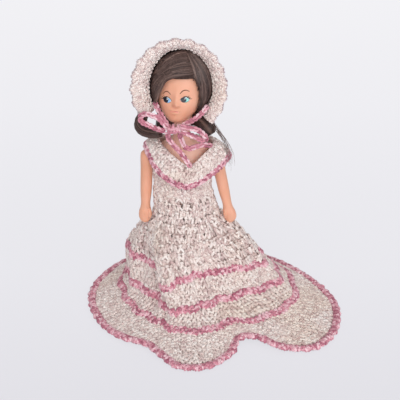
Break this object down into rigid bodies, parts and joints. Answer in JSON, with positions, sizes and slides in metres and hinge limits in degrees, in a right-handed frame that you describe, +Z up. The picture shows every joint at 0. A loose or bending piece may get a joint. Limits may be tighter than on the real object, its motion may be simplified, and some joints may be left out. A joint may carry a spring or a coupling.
{
  "type": "doll",
  "caption": "Small vinyl doll with brown hair in a floor-length cream crocheted dress with pink rows, a wide collar and a flared bonnet tied with a pink bow",
  "frame": {"origin": "on the floor, under the middle of the whole doll's bounding box", "axes": "+Z is up; the doll faces -Y; her left hand, on the viewer's right, is towards +X"},
  "size_m": [0.1524, 0.1382, 0.1607],
  "materials": {
    "vinyl_skin": "soft satin vinyl",
    "brown_hair": "rooted nylon hair",
    "white_plastic": "plain",
    "cream_yarn": "crocheted yarn",
    "pink_yarn": "crocheted yarn"
  },
  "bodies": {
    "body": {"torso": "vinyl_skin", "hip_rod": "white_plastic", "bodice": "cream_yarn", "skirt": "cream_yarn", "pink_row_upper": "pink_yarn", "pink_row_middle": "pink_yarn", "pink_row_lower": "pink_yarn", "hem_row": "pink_yarn", "collar": "cream_yarn", "collar_row": "pink_yarn"},
    "head": {"head": "vinyl_skin", "hair_cap": "brown_hair", "hair_lock_left": "brown_hair", "hair_lock_right": "brown_hair", "bonnet": "cream_yarn", "chin_tie_left": "pink_yarn", "chin_tie_right": "pink_yarn", "bow_knot": "pink_yarn", "bow_loop_left": "pink_yarn", "bow_loop_right": "pink_yarn", "bow_tail_long": "pink_yarn", "bow_tail_short": "pink_yarn"},
    "arm_left": {"arm_left": "vinyl_skin"},
    "arm_right": {"arm_right": "vinyl_skin"},
    "leg_left": {"leg_left": "vinyl_skin"},
    "leg_right": {"leg_right": "vinyl_skin"}
  },
  "joints": [
    {"name": "neck_turn", "type": "hinge", "parent": "body", "child": "head", "pos_m": [-0.0178, 0.0181, 0.1125], "axis": [0, 0, 1], "range_deg": [-60, 60], "deforming": ["bow_loop_right", "bow_tail_long", "bow_tail_short"]},
    {"name": "shoulder_left", "type": "hinge", "parent": "body", "child": "arm_left", "pos_m": [-0.0387, 0.0171, 0.0905], "axis": [-1, 0, 0], "range_deg": [-60, 110], "deforming": ["collar", "collar_row"]},
    {"name": "shoulder_right", "type": "hinge", "parent": "body", "child": "arm_right", "pos_m": [0.0031, 0.0171, 0.0905], "axis": [-1, 0, 0], "range_deg": [-60, 110], "deforming": ["collar", "collar_row"]},
    {"name": "hip_left", "type": "hinge", "parent": "body", "child": "leg_left", "pos_m": [-0.0253, 0.0171, 0.057], "axis": [-1, 0, 0], "range_deg": [-25, 25]},
    {"name": "hip_right", "type": "hinge", "parent": "body", "child": "leg_right", "pos_m": [-0.0103, 0.0171, 0.057], "axis": [-1, 0, 0], "range_deg": [-25, 25]}
  ]
}
